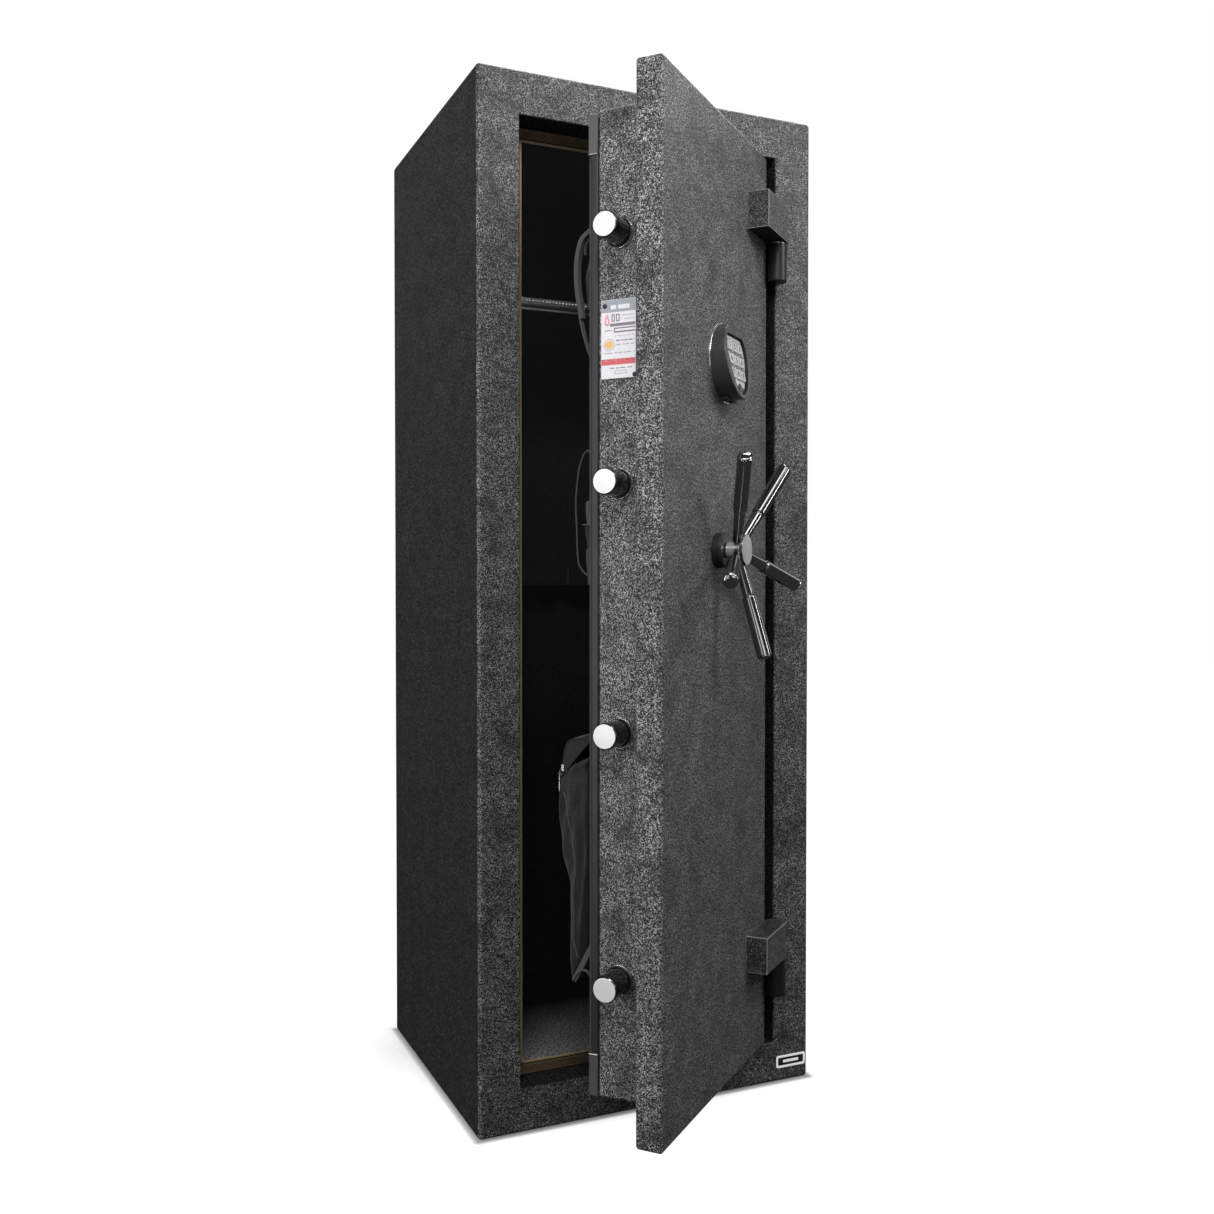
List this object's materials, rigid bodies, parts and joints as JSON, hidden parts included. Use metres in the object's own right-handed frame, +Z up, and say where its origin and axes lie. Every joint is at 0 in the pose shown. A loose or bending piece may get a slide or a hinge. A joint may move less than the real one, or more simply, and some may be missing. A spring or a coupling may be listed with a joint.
{
  "type": "gun safe",
  "caption": "Tall steel gun safe with an inset swing door, locking bolts, spoked handle, keypad lock and fabric door organizer.",
  "frame": {"origin": "middle of the cabinet's base, on the floor", "axes": "+Z up the height, -Y out of the front, +X towards the hinge side; the door stands 40 degrees open"},
  "size_m": [0.508, 0.7031, 1.397],
  "materials": {
    "crinkle_paint": "black crinkle powder coat, mid-grey speckle where it catches the light",
    "smooth_paint": "smooth satin dark grey paint",
    "seal": "brown ribbed heat seal, matt",
    "fire_board": "gypsum fire board, paper faced",
    "carpet": "short charcoal carpet",
    "plain_steel": "bare machined steel",
    "shelf_edge": "satin metal edging",
    "bright_bolt": "polished sides, turned bright end",
    "black_plastic": "fine satin black",
    "black_chrome": "black chrome plating",
    "key_silver": "silver with dark outline",
    "nylon": "black woven nylon",
    "plate_print": "plain coloured bands, no lettering"
  },
  "bodies": {
    "cabinet": {"body_shell": "crinkle_paint", "door_jamb": "crinkle_paint", "door_seal": "seal", "fire_board": "fire_board", "liner_left": "carpet", "liner_right": "carpet", "liner_back": "carpet", "liner_ceiling": "carpet", "floor_panel": "carpet", "shelf": "carpet", "shelf_trim": "shelf_edge", "barrel_rest": "carpet", "badge_plate": "black_plastic", "hinge_post_upper": "crinkle_paint", "hinge_post_lower": "crinkle_paint", "hinge_pin_upper": "plain_steel", "hinge_pin_lower": "plain_steel"},
    "door": {"door_shell": "crinkle_paint", "door_fire_board": "fire_board", "bolt_box": "crinkle_paint", "door_cover": "smooth_paint", "dead_bar": "plain_steel", "rating_plate": "plate_print", "hard_plate": "plain_steel", "lock_body": "plain_steel", "bolt_collar_1": "black_plastic", "bolt_collar_2": "black_plastic", "bolt_collar_3": "black_plastic", "bolt_collar_4": "black_plastic", "hinge_block_upper": "crinkle_paint", "hinge_block_lower": "crinkle_paint", "handle_base": "black_plastic", "keypad_housing": "black_plastic", "organizer_panel": "nylon", "organizer_top_pouch": "nylon", "organizer_holster": "nylon", "organizer_bottom_pouch": "nylon"},
    "bolt_carriage": {"bolt_bar": "plain_steel", "locking_bolt_1": "bright_bolt", "locking_bolt_2": "bright_bolt", "locking_bolt_3": "bright_bolt", "locking_bolt_4": "bright_bolt"},
    "handle": {"handle_hub": "black_chrome", "handle_spoke_1": "black_chrome", "handle_spoke_2": "black_chrome", "handle_spoke_3": "black_chrome", "handle_spoke_4": "black_chrome", "handle_spoke_5": "black_chrome", "drive_pinion": "plain_steel"},
    "battery_drawer": {"battery_drawer": "black_plastic"},
    "key_1": {"key_1": "key_silver"},
    "key_2": {"key_2": "key_silver"},
    "key_3": {"key_3": "key_silver"},
    "key_4": {"key_4": "key_silver"},
    "key_5": {"key_5": "key_silver"},
    "key_6": {"key_6": "key_silver"},
    "key_7": {"key_7": "key_silver"},
    "key_8": {"key_8": "key_silver"},
    "key_9": {"key_9": "key_silver"},
    "key_enter": {"key_enter": "key_silver"}
  },
  "joints": [
    {"name": "door_swing", "type": "hinge", "parent": "cabinet", "child": "door", "pos_m": [0.1885, -0.2315, 0.7], "axis": [0, 0, 1], "range_deg": [-40, 70]},
    {"name": "handle_turn", "type": "hinge", "parent": "door", "child": "handle", "pos_m": [0.02533, -0.34818, 0.77], "axis": [-0.6428, 0.766, 0], "range_deg": [0, 90]},
    {"name": "bolt_slide", "type": "slide", "parent": "door", "child": "bolt_carriage", "axis": [0.766, 0.6428, 0], "range_m": [0, 0.033]},
    {"name": "battery_slide", "type": "slide", "parent": "door", "child": "battery_drawer", "axis": [0, 0, -1], "range_m": [0, 0.04]},
    {"name": "key_1_press", "type": "slide", "parent": "door", "child": "key_1", "axis": [-0.6354, 0.7572, -0.1513], "range_m": [0, 0.001], "stiffness_N_per_m": 200},
    {"name": "key_2_press", "type": "slide", "parent": "door", "child": "key_2", "axis": [-0.6354, 0.7572, -0.1513], "range_m": [0, 0.001], "stiffness_N_per_m": 200},
    {"name": "key_3_press", "type": "slide", "parent": "door", "child": "key_3", "axis": [-0.6354, 0.7572, -0.1513], "range_m": [0, 0.001], "stiffness_N_per_m": 200},
    {"name": "key_4_press", "type": "slide", "parent": "door", "child": "key_4", "axis": [-0.6354, 0.7572, -0.1513], "range_m": [0, 0.001], "stiffness_N_per_m": 200},
    {"name": "key_5_press", "type": "slide", "parent": "door", "child": "key_5", "axis": [-0.6354, 0.7572, -0.1513], "range_m": [0, 0.001], "stiffness_N_per_m": 200},
    {"name": "key_6_press", "type": "slide", "parent": "door", "child": "key_6", "axis": [-0.6354, 0.7572, -0.1513], "range_m": [0, 0.001], "stiffness_N_per_m": 200},
    {"name": "key_7_press", "type": "slide", "parent": "door", "child": "key_7", "axis": [-0.6354, 0.7572, -0.1513], "range_m": [0, 0.001], "stiffness_N_per_m": 200},
    {"name": "key_8_press", "type": "slide", "parent": "door", "child": "key_8", "axis": [-0.6354, 0.7572, -0.1513], "range_m": [0, 0.001], "stiffness_N_per_m": 200},
    {"name": "key_9_press", "type": "slide", "parent": "door", "child": "key_9", "axis": [-0.6354, 0.7572, -0.1513], "range_m": [0, 0.001], "stiffness_N_per_m": 200},
    {"name": "key_enter_press", "type": "slide", "parent": "door", "child": "key_enter", "axis": [-0.6354, 0.7572, -0.1513], "range_m": [0, 0.001], "stiffness_N_per_m": 200}
  ],
  "couplings": [
    {"joint": "bolt_slide", "follows": "handle_turn", "m_per_rad": 0.021}
  ]
}
